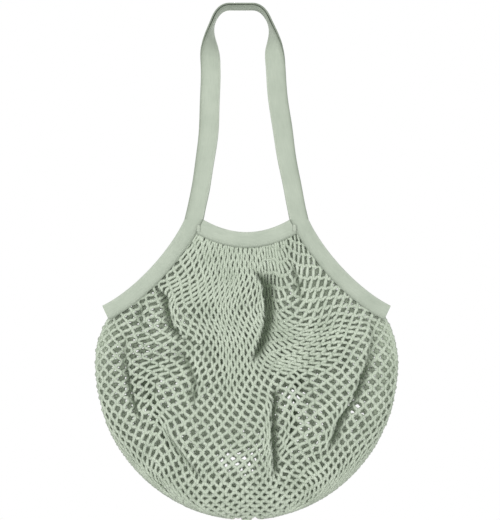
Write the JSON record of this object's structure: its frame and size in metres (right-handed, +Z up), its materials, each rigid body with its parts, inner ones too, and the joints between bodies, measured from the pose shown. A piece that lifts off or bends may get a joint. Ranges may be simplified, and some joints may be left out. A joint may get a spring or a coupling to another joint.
{
  "type": "mesh produce bag",
  "caption": "Knitted cotton net bag with a folded tape rim and a pair of long shoulder handles, hung from a hook.",
  "frame": {"origin": "middle of the flat underside of the front handle's top, where a hook or a hand carries the bag", "axes": "+Z up along the hanging bag, +X to the right seen from the front, the front faces -Y"},
  "size_m": [0.4078, 0.0638, 0.6953],
  "materials": {
    "net": "matt knitted cotton cord",
    "tape": "matt woven cotton tape",
    "thread": "matt cotton sewing thread"
  },
  "bodies": {
    "pouch": {"net_pouch": "net", "bottom_gather": "net", "left_corner_seam": "thread", "right_corner_seam": "thread"},
    "front_rim": {"front_net_rim": "net", "front_mouth_binding": "tape", "front_left_side_binding": "tape", "front_right_side_binding": "tape", "front_left_foot_tack": "thread", "front_right_foot_tack": "thread"},
    "front_handle": {"front_handle_strap": "tape"},
    "back_rim": {"back_net_rim": "net", "back_mouth_binding": "tape", "back_left_side_binding": "tape", "back_right_side_binding": "tape", "back_left_foot_tack": "thread", "back_right_foot_tack": "thread"},
    "back_handle": {"back_handle_strap": "tape"}
  },
  "joints": [
    {"name": "front_rim_open", "type": "hinge", "parent": "pouch", "child": "front_rim", "pos_m": [0, -0.0148, -0.425], "axis": [1, 0, 0], "range_deg": [0, 30]},
    {"name": "back_rim_open", "type": "hinge", "parent": "pouch", "child": "back_rim", "pos_m": [0, 0.0148, -0.425], "axis": [-1, 0, 0], "range_deg": [0, 30]},
    {"name": "front_handle_fold", "type": "hinge", "parent": "front_rim", "child": "front_handle", "pos_m": [0, -0.0122, -0.285], "axis": [1, 0, 0], "range_deg": [0, 150]},
    {"name": "back_handle_fold", "type": "hinge", "parent": "back_rim", "child": "back_handle", "pos_m": [0, 0.0122, -0.285], "axis": [-1, 0, 0], "range_deg": [0, 150]}
  ]
}
